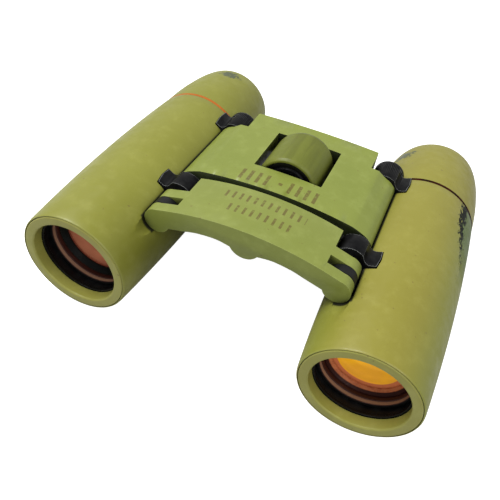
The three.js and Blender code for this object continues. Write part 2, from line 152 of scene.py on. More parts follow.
def lathe(name, rings, n=128, cx=BX, cz=BZ, steps=4):
    """Solid turned about the axis through (cx, cz); a ring is (radius, y) or (radius, y, fillet)."""
    on_axis = rings[0][0] == 0
    prof = rounded(rings, closed=not on_axis, steps=steps)
    verts, rows = [], []
    for r, y in prof:
        if r < 1e-6:
            rows.append([len(verts)] * n)
            verts.append((cx, Y(y), cz))
            continue
        rows.append(list(range(len(verts), len(verts) + n)))
        for k in range(n):
            t = TAU * k / n
            verts.append((cx + r * math.sin(t), Y(y), cz + r * math.cos(t)))
    faces, m = [], len(prof)
    for i in range(m - 1 if on_axis else m):
        a, b = rows[i], rows[(i + 1) % m]
        for k in range(n):
            q = [a[k], a[(k + 1) % n], b[(k + 1) % n], b[k]]
            f = [v for j, v in enumerate(q) if v not in q[:j]]
            if len(f) > 2:
                faces.append(f)
    return new_object(name, verts, faces)


def prism(name, lower, upper):
    """Solid between two matching loops of points."""
    n = len(lower)
    faces = [list(range(n)), list(range(2 * n - 1, n - 1, -1))]
    faces += [[i, (i + 1) % n, n + (i + 1) % n, n + i][::-1] for i in range(n)]
    return new_object(name, lower + upper, faces)


def slab(name, outline, y0, y1):
    """Outline in x, z pushed along y."""
    return prism(name, *([(x, Y(y), z) for x, z in outline] for y in (y0, y1)))


def plan_slab(name, outline, z0, z1):
    """Outline in x, y pushed along z."""
    return prism(name, *([(x, Y(y), z) for x, y in outline] for z in (z0, z1)))


def loft(name, front, rear, y0, y1):
    """Skin between two outlines in x, z with the same number of points, in fine steps."""
    n, steps = len(front), 8
    verts, faces = [], []
    for k in range(steps + 1):
        t = k / steps
        verts += [(a[0] + (b[0] - a[0]) * t, Y(y0 + (y1 - y0) * t), a[1] + (b[1] - a[1]) * t)
                  for a, b in zip(front, rear)]
    for k in range(steps):
        faces += [[k * n + i, k * n + (i + 1) % n, (k + 1) * n + (i + 1) % n, (k + 1) * n + i][::-1]
                  for i in range(n)]
    faces += [list(range(n)), list(range(steps * n, (steps + 1) * n))[::-1]]
    return new_object(name, verts, faces)


def box(name, x0, x1, y0, y1, z0, z1):
    return slab(name, [(x0, z0), (x1, z0), (x1, z1), (x0, z1)], y0, y1)


def rod(name, r, y0, y1, cx, cz, n=48):
    return lathe(name, [(0, y0), (r, y0), (r, y1), (0, y1)], n, cx, cz)


def bake(ob):
    """Turn the object's modifiers into mesh."""
    dg = bpy.context.evaluated_depsgraph_get()
    me = bpy.data.meshes.new_from_object(ob.evaluated_get(dg))
    me.name = ob.name
    ob.modifiers.clear()
    ob.data = me


def boolean(ob, tools, op="DIFFERENCE"):
    """Combine with each tool, which is used up."""
    for t in tools:
        m = ob.modifiers.new("b", "BOOLEAN")
        m.operation, m.object, m.solver = op, t, "EXACT"
    bake(ob)
    for t in tools:
        bpy.data.objects.remove(t, do_unlink=True)


def bevel(ob, width, segments, angle=38):
    m = ob.modifiers.new("bevel", "BEVEL")
    m.width, m.segments, m.limit_method = width * MM, segments, "ANGLE"
    m.angle_limit = math.radians(angle)
    return m


def soften(ob, width=0.0, segments=3, angle=38):
    """Small rounded edges if a width is given, smooth shading except across real corners."""
    if width:
        m = bevel(ob, width, segments, angle)
        m.use_clamp_overlap = True
        m.miter_outer = "MITER_ARC"
        bake(ob)
    ob.data.shade_smooth()
    ob.data.set_sharp_from_angle(angle=math.radians(angle))


def mirror_copy(ob, name):
    me = ob.data.copy()
    me.transform(Matrix.Scale(-1, 4, (1, 0, 0)))
    me.flip_normals()
    twin = bpy.data.objects.new(name, me)
    bpy.context.scene.collection.objects.link(twin)
    return twin


def arc(cx, cz, r, a0, a1, steps):
    return [(cx + r * math.cos(math.radians(a0 + (a1 - a0) * i / steps)),
             cz + r * math.sin(math.radians(a0 + (a1 - a0) * i / steps)))
            for i in range(steps + 1)]


def give(ob, mat):
    ob.data.materials.clear()
    ob.data.materials.append(mat)


def piece(ob, body, mat, node):
    """Put a square-modelled object at rest, on its body, in place of a CAD node."""
    side = "right" if body == "diopter_ring" else body.split("_")[0]
    ob.matrix_world = POSE.get(side, POSE["bridge"])
    give(ob, mat)
    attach(ob, body)
    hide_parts(node)


# ------------------------------------------------------------------ node helpers
def lin(*rgb):
    """sRGB 0-255 to linear."""
    out = []
    for c in rgb:
        c /= 255
        out.append(c / 12.92 if c <= 0.04045 else ((c + 0.055) / 1.055) ** 2.4)
    return (*out, 1.0)


class Mat:
    """A Principled material with a few shorthand node builders."""

    def __init__(self, name):
        self.m = bpy.data.materials.new(name)
        self.m.use_nodes = True
        self.t = self.m.node_tree
        self.p = self.t.nodes["Principled BSDF"]
        self.co = self.node("ShaderNodeTexCoord").outputs["Object"]

    def node(self, kind, **props):
        n = self.t.nodes.new(kind)
        for k, v in props.items():
            setattr(n, k, v)
        return n

    def link(self, a, b):
        self.t.links.new(a, b)

    def put(self, socket, value):
        if hasattr(value, "default_value"):
            self.link(value, socket)
        else:
            socket.default_value = value

    def noise(self, scale, detail=4, rough=0.55, stretch=None):
        n = self.node("ShaderNodeTexNoise")
        n.inputs["Scale"].default_value = scale
        n.inputs["Detail"].default_value = detail
        n.inputs["Roughness"].default_value = rough
        co = self.co
        if stretch:
            mp = self.node("ShaderNodeMapping")
            mp.inputs["Scale"].default_value = stretch
            self.link(co, mp.inputs["Vector"])
            co = mp.outputs["Vector"]
        self.link(co, n.inputs["Vector"])
        return n.outputs["Fac"]

    def ramp(self, fac, lo, hi, a=0.0, b=1.0):
        """Smooth step from a at lo to b at hi."""
        n = self.node("ShaderNodeMapRange")
        n.interpolation_type = "SMOOTHSTEP"
        self.link(fac, n.inputs["Value"])
        for s, v in zip(("From Min", "From Max", "To Min", "To Max"), (lo, hi, a, b)):
            n.inputs[s].default_value = v
        return n.outputs["Result"]

    def mix(self, fac, a, b, blend="MIX"):
        n = self.node("ShaderNodeMix", data_type="RGBA", blend_type=blend)
        self.put(n.inputs[0], fac)
        self.put(n.inputs[6], a)
        self.put(n.inputs[7], b)
        return n.outputs[2]

    def math(self, op, a, b=0.0, c=None):
        n = self.node("ShaderNodeMath", operation=op)
        self.put(n.inputs[0], a)
        self.put(n.inputs[1], b)
        if c is not None:
            self.put(n.inputs[2], c)
        return n.outputs[0]

    def times(self, first, *rest):
        for value in rest:
            first = self.math("MULTIPLY", first, value)
        return first

    def plus(self, a, b):
        return self.math("ADD", a, b)

    def minus(self, a, b):
        return self.math("SUBTRACT", a, b)

    def xyz(self, vector=None):
        """The three parts of a vector, by default the position on the object."""
        n = self.node("ShaderNodeSeparateXYZ")
        self.link(self.co if vector is None else vector, n.inputs[0])
        return n.outputs

    def normal(self):
        return self.node("ShaderNodeNewGeometry").outputs["Normal"]

    def edge(self, radius=0.35):
        """1 on sharp edges, 0 on flats."""
        b = self.node("ShaderNodeBevel", samples=4)
        b.inputs["Radius"].default_value = radius * MM
        d = self.node("ShaderNodeVectorMath", operation="DOT_PRODUCT")
        self.link(b.outputs[0], d.inputs[0])
        self.link(self.normal(), d.inputs[1])
        return self.ramp(d.outputs["Value"], 0.995, 0.90)

    def bump(self, height, strength, distance=0.05):
        n = self.node("ShaderNodeBump")
        n.inputs["Strength"].default_value = strength
        n.inputs["Distance"].default_value = distance * MM
        self.link(height, n.inputs["Height"])
        self.link(n.outputs[0], self.p.inputs["Normal"])

    def set(self, **kw):
        """Principled inputs by name, with underscores for spaces."""
        for k, v in kw.items():
            self.put(self.p.inputs[k.replace("_", " ")], v)


def hollow(m):
    """1 deep in crevices, 0 in the open."""
    ao = m.node("ShaderNodeAmbientOcclusion", samples=6, inside=False)
    ao.inputs["Distance"].default_value = 5.0 * MM
    return m.ramp(ao.outputs["AO"], 0.75, 0.12)


RUST_FLECK, PALE_FLECK, GRIME_AND_SHADE = lin(84, 70, 36), lin(190, 184, 124), lin(12, 14, 5)
EDGE_PALE, PAINT_SHINE = 0.4, 0.28


def paint(name, base, deep, pale, rough, marks=None, shine=PAINT_SHINE, grime_and_shade=0.85):
    """Sprayed paint: drifting tone, fine grain, specks, pale edges (partly rubbed wear, partly painted
    highlight), dirt and painted shade in crevices.
    """
    m = Mat(name)
    c = m.mix(m.ramp(m.noise(38, 2), 0.3, 0.7, 0, 0.55), base, deep)
    c = m.mix(m.ramp(m.noise(240, 5, 0.65), 0.45, 0.8, 0, 0.22), c, pale)
    c = m.mix(m.ramp(m.noise(2400, 3, 0.6), 0.3, 0.7, 0.0, 0.12), c, deep)
    c = m.mix(m.ramp(m.noise(900, 2, 0.4), 0.745, 0.765, 0, 0.7), c, RUST_FLECK)
    c = m.mix(m.ramp(m.noise(430, 6, 0.8), 0.71, 0.74, 0, 0.3), c, PALE_FLECK)
    # Pale edges: partly rubbed wear, partly painted highlight lines.
    rubbed = m.times(m.edge(), m.ramp(m.noise(500, 4), 0.3, 0.6, 0.35, 1.0), EDGE_PALE)
    c = m.mix(rubbed, c, pale)
    # Darkening in crevices: partly dirt, partly painted shade.
    c = m.mix(m.times(hollow(m), grime_and_shade), c, GRIME_AND_SHADE)
    m.set(Specular_IOR_Level=shine)
    if marks is not None:
        c = marks(m, c)
    m.set(Base_Color=c, Roughness=m.ramp(m.noise(300, 4), 0.3, 0.75, rough - 0.07, rough + 0.1))
    m.bump(m.plus(m.noise(3200, 2, 0.5), m.times(m.noise(420, 4), 0.25)), 0.18, 0.04)
    return m.m


def plastic(name, base, pale, rough, bump=0.25, worn=0.35, shine=0.2, edge=0.3, drift=0.3):
    """Moulded or coated surface: drifting tone, fine grain and edges rubbed pale."""
    m = Mat(name)
    c = m.mix(m.ramp(m.noise(300, 4), 0.35, 0.75, 0, drift), base, pale)
    c = m.mix(m.times(m.edge(edge), worn), c, pale)
    m.set(Base_Color=c, Roughness=m.ramp(m.noise(650, 4), 0.3, 0.7, rough - 0.08, rough + 0.12),
          Specular_IOR_Level=shine)
    m.bump(m.noise(1800, 3), bump, 0.03)
    return m.m


def metal(name, base, dark, rough):
    """Turned metal with fine rings round its length."""
    m = Mat(name)
    stretch = (0.15, 6, 0.15)
    c = m.mix(m.ramp(m.noise(900, 4, 0.6, stretch), 0.35, 0.7), base, dark)
    m.set(Base_Color=c, Metallic=1.0,
          Roughness=m.ramp(m.noise(1500, 3, 0.6, stretch), 0.3, 0.7, rough - 0.06, rough + 0.12))
    m.bump(m.noise(2600, 2, 0.5, stretch), 0.2, 0.02)
    return m.m


def glass(name, tint, rough=0.02, ior=1.52):
    m = Mat(name)
    c = m.mix(m.ramp(m.noise(120, 2), 0.4, 0.7, 0, 0.2), tint, (1, 1, 1, 1))
    m.set(Base_Color=c, Roughness=m.ramp(m.noise(900, 4), 0.45, 0.8, rough, rough + 0.05), IOR=ior,
          Transmission_Weight=1.0)
    m.bump(m.noise(60, 2), 0.02, 0.02)
    return m.m


# ------------------------------------------------------------------ finishes
# Painted shade: the low inner flank, the hinge hollow and the bridge face toward the arm.
FLANK_PAINTED_SHADE, HOLLOW_PAINTED_SHADE, FRONT_PAINTED_SHADE = lin(40, 44, 14), lin(20, 20, 10), lin(14, 20, 9)
PAINTED_LIGHT_GREEN, RUBBED_GREEN, STROKE_BLACK = lin(100, 112, 44), lin(80, 94, 64), lin(5, 8, 5)
TICK_BROWN, SMUDGE_GREY = lin(72, 60, 26), lin(50, 58, 42)


def between(m, v, lo, hi):
    return m.times(m.math("GREATER_THAN", v, lo), m.math("LESS_THAN", v, hi))


def ticks(*rows):
    """Rows of plain tick marks on an upward face: (y0, y1, x0, x1, pitch, width)."""
    def apply(m, c):
        o = m.xyz()
        x, y = m.times(o[0], PER_METRE), m.times(o[1], PER_METRE)
        total = 0.0
        for y0, y1, x0, x1, pitch, width in rows:
            f = m.math("FRACT", m.math("DIVIDE", m.minus(x, x0), pitch))
            row = m.times(between(m, y, Y(y0), Y(y1)), between(m, x, x0, x1))
            total = m.math("MAXIMUM", total, m.times(row, m.math("LESS_THAN", f, width / pitch)))
        upward = m.ramp(m.xyz(m.normal())[2], 0.75, 0.9)
        worn = m.ramp(m.noise(1500, 4), 0.32, 0.5, 0.25, 0.8)
        return m.mix(m.times(total, upward, worn), c, TICK_BROWN)
    return apply


def around(m, cx=BX, cz=BZ):
    """Angle about a lengthwise axis in degrees (0 outward, 90 up), distance from it in metres and
    y in millimetres; the same on the left and the right side."""
    o = m.xyz()
    x = m.minus(m.math("ABSOLUTE", o[0]), cx * MM)
    z = m.minus(o[2], cz * MM)
    ang = m.times(m.math("ARCTAN2", z, x), math.degrees(1))
    r = m.math("SQRT", m.plus(m.times(x, x), m.times(z, z)))
    return ang, r, m.times(o[1], PER_METRE)


def hinge_hollow(m, c):
    """The clearance hollow round the hinge knuckles is darkened with painted shade."""
    _, r, y = around(m, HX, HZ)
    inside = m.times(m.ramp(r, 4.7 * MM, 4.25 * MM), m.ramp(y, Y(14.7), Y(15.4)))
    return m.mix(inside, c, HOLLOW_PAINTED_SHADE)


def shaded_flank(m, c):
    """Painted shade low on the flank turned toward the other barrel, and the painted shade of the hinge hollow.
    """
    ang, _, y = around(m)
    low = m.times(m.ramp(m.math("ABSOLUTE", ang), 138, 168, 0, 0.42), m.ramp(y, Y(2), Y(14)))
    return hinge_hollow(m, m.mix(low, c, FLANK_PAINTED_SHADE))


def streaks(m, c):
    """A rubbed grey-green patch low on the outer flank, edged by plain dark brush strokes."""
    ang, _, y = around(m)
    off_crest = m.math("ABSOLUTE", m.minus(ang, 98))
    # Toward green on the flanks away from the crest and toward the front: painted light, not a change in the
    # paint.
    painted_light_tint = m.times(m.ramp(off_crest, 18, 62, 0, 0.4), m.ramp(off_crest, 130, 75))
    c = m.mix(m.times(painted_light_tint, m.ramp(y, Y(72), Y(55))), c, PAINTED_LIGHT_GREEN)
    c = hinge_hollow(m, c)
    jag = m.ramp(m.noise(1100, 5, 0.7, (0.7, 0.4, 0.7)), 0.3, 0.7, -5, 5)
    depth = m.plus(m.minus(m.ramp(y, Y(42), Y(64), 43, 59), ang), jag)
    along = m.times(m.ramp(y, Y(38), Y(46)), m.ramp(m.plus(ang, jag), -38, -8))
    inside = m.times(m.ramp(depth, -0.5, 0.5), along)
    c = m.mix(m.times(inside, m.ramp(y, Y(40), Y(60), 0.3, 0.85)), c, RUBBED_GREEN)
    ragged = m.ramp(m.noise(1500, 4, 0.7, (0.8, 0.35, 0.8)), 0.3, 0.7, -3.5, 3.5)
    width = m.plus(m.ramp(y, Y(42), Y(68), 0.5, 10.0), ragged)
    stroke = m.times(m.ramp(depth, -0.4, 0.4), m.ramp(m.minus(width, depth), -0.5, 0.5), along)
    by_seam = m.times(m.ramp(y, Y(70.9), Y(71.3)), m.ramp(depth, -1, 1), along)
    m.set(Specular_IOR_Level=m.math("MULTIPLY_ADD", inside, -0.24, PAINT_SHINE))
    return m.mix(m.times(m.math("MAXIMUM", stroke, by_seam), 0.98), c, STROKE_BLACK)


def shaded_front(m, c):
    """The face turned toward the arm is darkened with painted shade."""
    return m.mix(m.ramp(m.xyz(m.normal())[1], -0.35, -0.8, 0, 0.92), c, FRONT_PAINTED_SHADE)


def smudge(angle, along):
    """One small dark rub mark near the end of a dome."""
    def apply(m, c):
        ang, _, y = around(m)
        ragged = m.ramp(m.noise(700, 4, 0.7), 0.35, 0.65, -0.9, 0.9)
        u = m.math("DIVIDE", m.minus(ang, angle), 13)
        v = m.math("DIVIDE", m.minus(y, Y(along)), 2.6)
        d = m.plus(m.plus(m.times(u, u), m.times(v, v)), ragged)
        return m.mix(m.ramp(d, 1.3, 0.6, 0, 0.9), c, SMUDGE_GREY)
    return apply


# base, deep and pale tone, roughness
# The right side's warmer tone is painted light: both barrels have the same paint.
LEFT_OLIVE = lin(103, 104, 38), lin(95, 95, 30), lin(132, 132, 68), 0.42
RIGHT_OLIVE = lin(109, 105, 40), lin(101, 96, 32), lin(137, 134, 70), 0.42
# The lip's lighter, more green tone is painted light on its front face; the lip has the barrels' paint.
LIP_OLIVE = lin(118, 117, 54), lin(106, 103, 42), lin(146, 145, 84), 0.38
BRIDGE_GREEN = lin(99, 107, 45), lin(90, 99, 38), lin(132, 141, 80), 0.4
ARM_GREEN = lin(99, 106, 47), lin(90, 98, 40), lin(132, 140, 80), 0.4
WHEEL_GREEN = lin(83, 89, 32), lin(70, 72, 22), lin(104, 104, 44), 0.42
olive = {"left": paint("olive_paint_left", *LEFT_OLIVE, shaded_flank),
         "right": paint("olive_paint_right", *RIGHT_OLIVE, streaks)}
dome_olive = {"left": paint("dome_paint_left", *LEFT_OLIVE, smudge(86, 95.3)),
              "right": paint("dome_paint_right", *RIGHT_OLIVE, smudge(142, 92))}
lip = paint("lip_paint", *LIP_OLIVE, grime_and_shade=0.3)
bridge_ticks = ticks((36.9, 42.0, -12.0, -2.6, 2.5, 1.0), (36.9, 42.0, 2.6, 12.0, 2.5, 1.0),
                     (39.0, 40.2, -0.6, 0.6, 3.0, 1.2))
bridge_green = paint("bridge_paint", *BRIDGE_GREEN,
                     lambda m, c: shaded_front(m, bridge_ticks(m, c)))
arm_green = paint("arm_paint", *ARM_GREEN,
                  ticks((27.3, 30.2, -11.5, 11.8, 2.1, 0.7), (22.0, 24.9, -8.4, 10.4, 2.1, 0.7)))


def bands(m, c):
    """Faint darker lines running along the wheel."""
    k = m.ramp(m.noise(260, 3, 0.6, (1, 0.1, 1)), 0.45, 0.66, 0, 0.4)
    return m.mix(k, c, lin(58, 60, 20))


wheel_green = paint("wheel_paint", *WHEEL_GREEN, bands, shine=0.16)
black = plastic("black_plastic", lin(6, 6, 7), lin(40, 40, 44), 0.36, shine=0.1, drift=0.12)
# The pale edges of this casting are painted highlight lines as well as wear.
lug_black = plastic("black_casting", lin(4, 4, 5), lin(112, 114, 112), 0.36, 0.15, 0.9, shine=0.1,
                    edge=0.22, drift=0.03)
anodised = plastic("black_anodised", lin(7, 9, 8), lin(44, 40, 34), 0.3, 0.08, 0.5, shine=0.07,
                   drift=0.06)
rubber = plastic("black_rubber", lin(24, 23, 25), lin(58, 56, 56), 0.75, 0.5, 0.2)
steel = metal("steel", lin(186, 188, 190), lin(120, 120, 122), 0.28)
brass = metal("brass", lin(190, 154, 82), lin(120, 90, 44), 0.3)
seam = {"right": plastic("seam_ring_right", lin(14, 5, 3), lin(64, 24, 12), 0.6, 0.15, shine=0.03,
                         drift=0.5),
        "left": plastic("seam_ring_left", lin(134, 72, 22), lin(164, 98, 40), 0.5, 0.15, shine=0.1)}
clear = glass("clear_glass", lin(226, 236, 230))


def cell_finish():
    """Black anodising with brown bands round the mouth of the lens cell."""
    m = Mat("lens_cell")
    _, r, y = around(m)
    c = m.mix(m.ramp(m.noise(300, 4), 0.35, 0.75, 0, 0.3), lin(9, 11, 11), lin(30, 28, 24))
    mouth = m.times(m.ramp(r, 12.2 * MM, 12.0 * MM), m.ramp(y, Y(12), Y(11.5)))
    c = m.mix(mouth, c, lin(50, 22, 17))
    off_line = m.math("ABSOLUTE", m.minus(y, Y(7.7)))
    line = m.times(m.ramp(r, 12.4 * MM, 12.1 * MM), m.ramp(off_line, 0.6, 0.35))
    c = m.mix(line, c, lin(128, 98, 78))
    m.set(Base_Color=c, Roughness=m.ramp(m.noise(650, 4), 0.3, 0.7, 0.34, 0.5),
          Specular_IOR_Level=0.16)
    m.bump(m.noise(1800, 3), 0.12, 0.03)
    return m.m


def retainer_finish():
    """Copper-coloured inner flat and a dark red-brown outer band."""
    m = Mat("copper_ring")
    _, r, _ = around(m)
    c = m.mix(m.ramp(m.noise(900, 4), 0.35, 0.7), lin(186, 112, 72), lin(164, 92, 58))
    c = m.mix(m.ramp(r, 10.65 * MM, 10.85 * MM), c, lin(44, 16, 12))
    m.set(Base_Color=c, Roughness=m.ramp(m.noise(1500, 3), 0.3, 0.7, 0.4, 0.6),
          Specular_IOR_Level=0.12)
    m.bump(m.noise(2600, 2), 0.15, 0.02)
    return m.m


lens_cell, copper = cell_finish(), retainer_finish()


# ------------------------------------------------------------------ barrels
def shell_radius(y):
    u = y / Y_SEAM
    return R_MOUTH + (R_SEAM - R_MOUTH) * u + 4 * BULGE * u * (1 - u)


def smooth_rings(points, per=5):
    """Catmull-Rom curve through (radius, y) stations."""
    out = []
    for i in range(len(points) - 1):
        p0 = points[max(i - 1, 0)]
        p1, p2 = points[i], points[i + 1]
        p3 = points[min(i + 2, len(points) - 1)]
        for k in range(per):
            t = k / per
            out.append(tuple(
                0.5 * (2 * b + (c - a) * t + (2 * a - 5 * b + 4 * c - d) * t * t
                       + (3 * b - a - 3 * c + d) * t ** 3)
                for a, b, c, d in zip(p0, p1, p2, p3)))
    out.append(tuple(points[-1]))
    return out


def lug_plan(name, span, grow, z0, fillet=0.25):
    """Tall block with the outline of a barrel lug seen from above, grown by a clearance."""
    y0, y1 = span
    e = LUG_END_X + grow
    pts = [(15, y0 - grow), (e - 0.4, y0 - grow, fillet), (e, (y0 + y1) / 2),
           (e - 0.2, y1 + grow, fillet), (15, y1 + grow)]
    return plan_slab(name, rounded(pts), z0, TALL[1])


def sector(name, r0, r1, a0, a1, y0, y1, steps=12):
    """Part of a ring about the barrel axis."""
    return slab(name, arc(BX, BZ, r1, a0, a1, steps) + arc(BX, BZ, r0, a1, a0, steps), y0, y1)


def shell(name):
    """Barrel skin with hollows for the hinge, the lugs and the carrier."""
    body = [(shell_radius(y), y) for y in [1.4 + (Y_SEAM - 1.9) * i / 22 for i in range(23)]]
    rings = [(15.55, 0.15, 0.05), (15.75, 0.1, 0.1), (15.95, 0.45, 0.3)] + body
    rings += [(R_SEAM - 0.1, Y_SEAM - 0.25), (SKIN_IN, Y_SEAM - 0.25), (SKIN_IN, 3.6), (15.55, 3.6)]
    ob = lathe(name, rings, 160)
    groove = [(0, 9), (3.0, 9), (4.05, 13.7), (4.05, 71.9), (0, 71.9)]
    boolean(ob, [lathe("t1", groove, 72, HX, HZ), lug_plan("t2", FRONT_LUG, 0.35, 24),
                 lug_plan("t3", REAR_LUG, 0.3, 24),
                 sector("t4", 12, 20, 130, 150, *CARRIER_SLOT)])
    soften(ob)
    return ob


def chassis(name):
    """Inner tube with both hinge lugs; the rear knuckle runs on between seam and bridge."""
    ob = lathe(name, [(TUBE_IN, 4.2), (TUBE_OUT, 4.2), (TUBE_OUT, 77), (TUBE_IN, 77)], 96)
    root = arc(BX, BZ, 14.0, 150, 117, 10)
    knuckle = arc(HX, HZ, LUG_R, 58, 270, 34)
    saddle = smooth_rings([(33.5, 33.35), (32.7, 33.6), (31.6, 33.0), (30.3, 32.5), (29.2, 33.0),
                           (28.5, 33.9), knuckle[0]], 4)[:-1]
    for span in (FRONT_LUG, REAR_LUG):
        lug = slab("lug", knuckle + root + saddle, *span)
        boolean(lug, [lug_plan("p", span, 0, 10)], "INTERSECT")
        if span is REAR_LUG:
            end = rod("e", LUG_R, span[1] - 0.2, 73, HX, HZ, 72)
            boolean(end, [rod("c", R_SEAM + 0.42, span[1] + 0.2, PAST, BX, BZ, 96)])
            boolean(lug, [end], "UNION")
        boolean(lug, [rod("h", PIN_BORE, 10, PAST, HX, HZ)])
        soften(lug, 0.1, 2, 35)
        boolean(ob, [lug], "UNION")
    boolean(ob, [sector("s", 12, 20, 130.5, 149.5, *CARRIER_SLOT)])
    soften(ob, angle=32)
    return ob


def dome(name):
    """Rounded rear end over the eyepiece."""
    curve = smooth_rings([(17.12, 73.1), (17.14, 79), (16.95, 84), (16.4, 90.5), (15.85, 94.5), (15.17, 98),
                          (14.46, 100.5), (13.8, 101.8), (12.95, 102.4)], 6)
    rings = [(14.95, 73.05), (17.0, 73.05)] + curve + [(12.75, 102.3), (12.75, 79.5), (14.95, 79.5)]
    ob = lathe(name, rings, 160)
    soften(ob)
    return ob


def turned(name, rings, n=128, **kw):
    ob = lathe(name, rings, n, **kw)
    soften(ob, angle=32)
    return ob


def ring(*profile):
    """Maker of a turned part from its (radius, y) or (radius, y, fillet) profile."""
    return lambda name: turned(name, profile)


mouth_lip = ring((12.75, 0.35, 0.3), (13.1, 0, 0.3), (15.2, 0, 0.2), (15.4, 0.2, 0.1), (15.4, 3.5),
                 (13.5, 3.4), (12.75, 3.4, 0.1))
mouth_stop = ring((12.2, 3.5, 0.15), (13.4, 3.5), (13.4, 3.9), (13.1, 3.9), (13.1, 4.7),
                  (12.5, 4.7, 0.15))
seam_band = ring((14.95, 72.0), (17.12, 72.0), (17.12, 73.0), (14.95, 73.0))
retainer = ring((11.35, 9.5), (11.6, 9.5), (11.6, 11.4), (10.2, 11.3), (10.2, 10.9))
eye_tube = ring((11, 74.5), (12.4, 74.5, 0.1), (12.4, 100.2, 0.2), (9.2, 100.2, 0.2), (9.2, 93.4),
                (11, 93.4))
eye_cup = ring((8.4, 100.6, 0.1), (9, 100.35, 0.1), (12.3, 100.35, 0.1), (12.6, 101.4, 0.3),
               (12.4, 102.5, 0.4), (11.8, 103, 0.4), (9.8, 103, 0.3))


def cell(name):
    """Lens cell with the lug that rides on the hinge pin."""
    ob = lathe(name, [(12.0, 7.0, 0.2), (13, 7.0, 0.1), (13, 24), (10.2, 24), (10.2, 18.6), (11.05, 18.6),
                      (11.05, 11.6), (11.75, 11.6), (11.75, 8.4, 0.1), (12.0, 8.2, 0.1)])
    lug = slab("d", arc(HX, HZ, KNUCKLE_R, 0, 350, 35), *CARRIER_LUG)
    web = sector("w", 12.4, 17.4, 132, 148, *CARRIER_LUG)
    boolean(ob, [lug, web], "UNION")
    boolean(ob, [rod("h", PIN_BORE, 10, 30, HX, HZ)])
    soften(ob)
    return ob


def crown(name):
    front = [(CROWN_R * u, 10.4 + 1.3 * u ** 2) for u in [i / 14 for i in range(15)]]
    back = [(CROWN_R * u, 15.6 - 1.2 * u ** 2) for u in [i / 8 for i in range(8, -1, -1)]]
    return turned(name, front + back)


def eye_lens(name):
    front = [(0, EYE_Y0), (EYE_R - 0.4, EYE_Y0), (EYE_R, EYE_Y0 + 0.3), (EYE_R, EYE_Y1 - 1.5)]
    back = [(EYE_R * u, EYE_Y1 - 1.5 * u ** 2) for u in [i / 10 for i in range(9, -1, -1)]]
    return turned(name, front + back)


# ------------------------------------------------------------------ bridge, arm, wheel
def top_z(x, crown_z, radius):
    return crown_z - x * x / (2 * radius)


def both_sides(right):
    return [(-x, z) for x, z in right if x > 0.001][::-1] + right


def bridge_outline(crown_z, radius):
    top = [(x, top_z(x, crown_z, radius)) for x in [23 * i / 16 for i in range(17)]]
    knuckle = arc(HX, HZ, KNUCKLE_R, 32, -176, 36)
    shoulder = smooth_rings([top[-1], (25.4, 34.95), (27.3, 34.0), knuckle[0]], 4)[1:-1]
    under = [(17, 30.55), (14.6, 30.6), (0, 30.6)]
    return both_sides(top + shoulder + knuckle + under)


def side_box(name, side, x, y0, y1):
    """Tall cutting box from x outward on the given side (-1 or 1)."""
    return box(name, *sorted((side * x, side * (x + 20))), y0, y1, *TALL)


def bridge():
    """Crowned casting with the wheel window, rear lug notches and bores."""
    ob = loft("bridge_casting", bridge_outline(37.9, 130), bridge_outline(37.5, 340),
              BRIDGE_Y0, BRIDGE_Y1)
    for s in (-1, 1):
        boolean(ob, [side_box("n", s, NOTCH_X, KNUCKLE_Y1, PAST)])
    boolean(ob, [box("w", -WINDOW_X, WINDOW_X, *WINDOW_Y, *TALL)])
    soften(ob, 0.3, 3, 35)
    boolean(ob, [rod("h", SCREW_BORE, 30, 50, 0, FOCUS_Z), rod("h2", SCREW_BORE, 60, PAST, 0, FOCUS_Z)]
            + [rod("p", BRIDGE_PIN_BORE, 30, PAST, s * HX, HZ) for s in (-1, 1)])
    for x, y in COVER_SCREWS:
        boolean(ob, [plan_slab("s", arc(x, y, COVER_SCREW_R, 0, 350, 18), *COVER_Z)])
    soften(ob)
    return ob


def arm():
    """Front arm with a fork for each carrier and a notch for each front lug."""
    top = [(x, top_z(x, 38.4, 82.6)) for x in [24 * i / 16 for i in range(17)]]
    knuckle = arc(HX, HZ, 3.75, 84, -160, 40)
    under = smooth_rings([knuckle[-1], (20.5, 29.75), (18.8, 30.2), (17, 30.7), (13.4, 31.7), (8.6, 32.25),
                          (5.6, 32.0)], 4)[1:-1]
    boss = arc(0, 33.9, 4.5, -30, -90, 12)
    ob = slab("front_arm_casting", both_sides(top + knuckle + under + boss), ARM_Y0, ARM_Y1)
    for s in (-1, 1):
        boolean(ob, [side_box("f", s, FORK_X, *FORK_Y),
                     side_box("n", s, ARM_NOTCH_X, ARM_NOTCH_Y, PAST),
                     rod("k", LUG_R + LUG_GAP, ARM_NOTCH_Y, PAST, s * HX, HZ, 96)])
    soften(ob, 0.3, 3, 35)
    boolean(ob, [rod("b", NUT_BORE, 19.4, 40, 0, FOCUS_Z)]
            + [rod("p", PIN_BORE, 16.7, 40, s * HX, HZ) for s in (-1, 1)])
    soften(ob)
    return ob


def wheel():
    r, y0, y1 = WHEEL_R, WHEEL_Y0, WHEEL_Y1
    return turned("focus_wheel_rim", [
        (2.6, y0 + 1.9), (r - 1.5, y0 + 1.9), (r - 1.5, y0 + 0.4, 0.1), (r - 1.1, y0, 0.2),
        (r - 0.6, y0 + 0.1, 0.3), (r, y0 + 0.8, 0.4), (r, y1 - 2.4, 1.2), (r - 0.5, y1 - 1.1, 0.8),
        (r - 1.4, y1 - 0.3, 0.6), (r - 2.8, y1, 0.5), (2.6, y1)], 144, cx=0, cz=FOCUS_Z)


